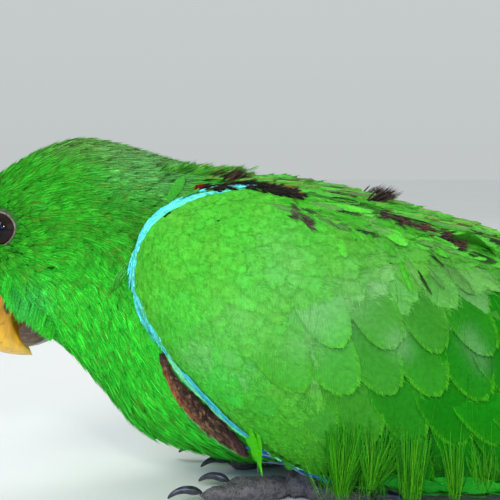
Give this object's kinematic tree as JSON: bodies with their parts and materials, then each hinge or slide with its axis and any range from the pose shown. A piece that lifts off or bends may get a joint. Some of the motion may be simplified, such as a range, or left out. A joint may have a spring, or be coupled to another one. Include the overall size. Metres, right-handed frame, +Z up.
{
  "type": "eclectus parrot model",
  "caption": "Life-size still model of a young male eclectus parrot standing low with its head bowed and its wings folded.",
  "frame": {"origin": "on the floor, under the middle of the bird's bounding box", "axes": "+X from the bill to the tail along the body, +Y to the bird's right, +Z up"},
  "size_m": [0.3254, 0.1012, 0.1096],
  "materials": {
    "plumage": "green contour feathers, hair-like on the head, satin",
    "flight_feathers": "green vanes with blue and dark edges, satin",
    "upper_bill": "orange horn, yellow towards the tip, semi-gloss",
    "lower_bill": "dark brown horn, semi-gloss",
    "eye": "dark brown iris under a clear glossy cornea",
    "scaly_skin": "grey scaly skin, matt",
    "claw": "black horn, semi-gloss"
  },
  "bodies": {
    "root": {"head": "plumage", "neck": "plumage", "trunk": "plumage", "tail": "flight_feathers", "upper_bill": "upper_bill", "lower_bill": "lower_bill", "eye_left": "eye", "wing_left": "plumage", "primaries_left": "flight_feathers", "thigh_left": "plumage", "shank_left": "scaly_skin", "toe_1_left": "scaly_skin", "claw_1_left": "claw", "toe_2_left": "scaly_skin", "claw_2_left": "claw", "toe_3_left": "scaly_skin", "claw_3_left": "claw", "toe_4_left": "scaly_skin", "claw_4_left": "claw", "eye_right": "eye", "wing_right": "plumage", "primaries_right": "flight_feathers", "thigh_right": "plumage", "shank_right": "scaly_skin", "toe_1_right": "scaly_skin", "claw_1_right": "claw", "toe_2_right": "scaly_skin", "claw_2_right": "claw", "toe_3_right": "scaly_skin", "claw_3_right": "claw", "toe_4_right": "scaly_skin", "claw_4_right": "claw"}
  },
  "joints": []
}
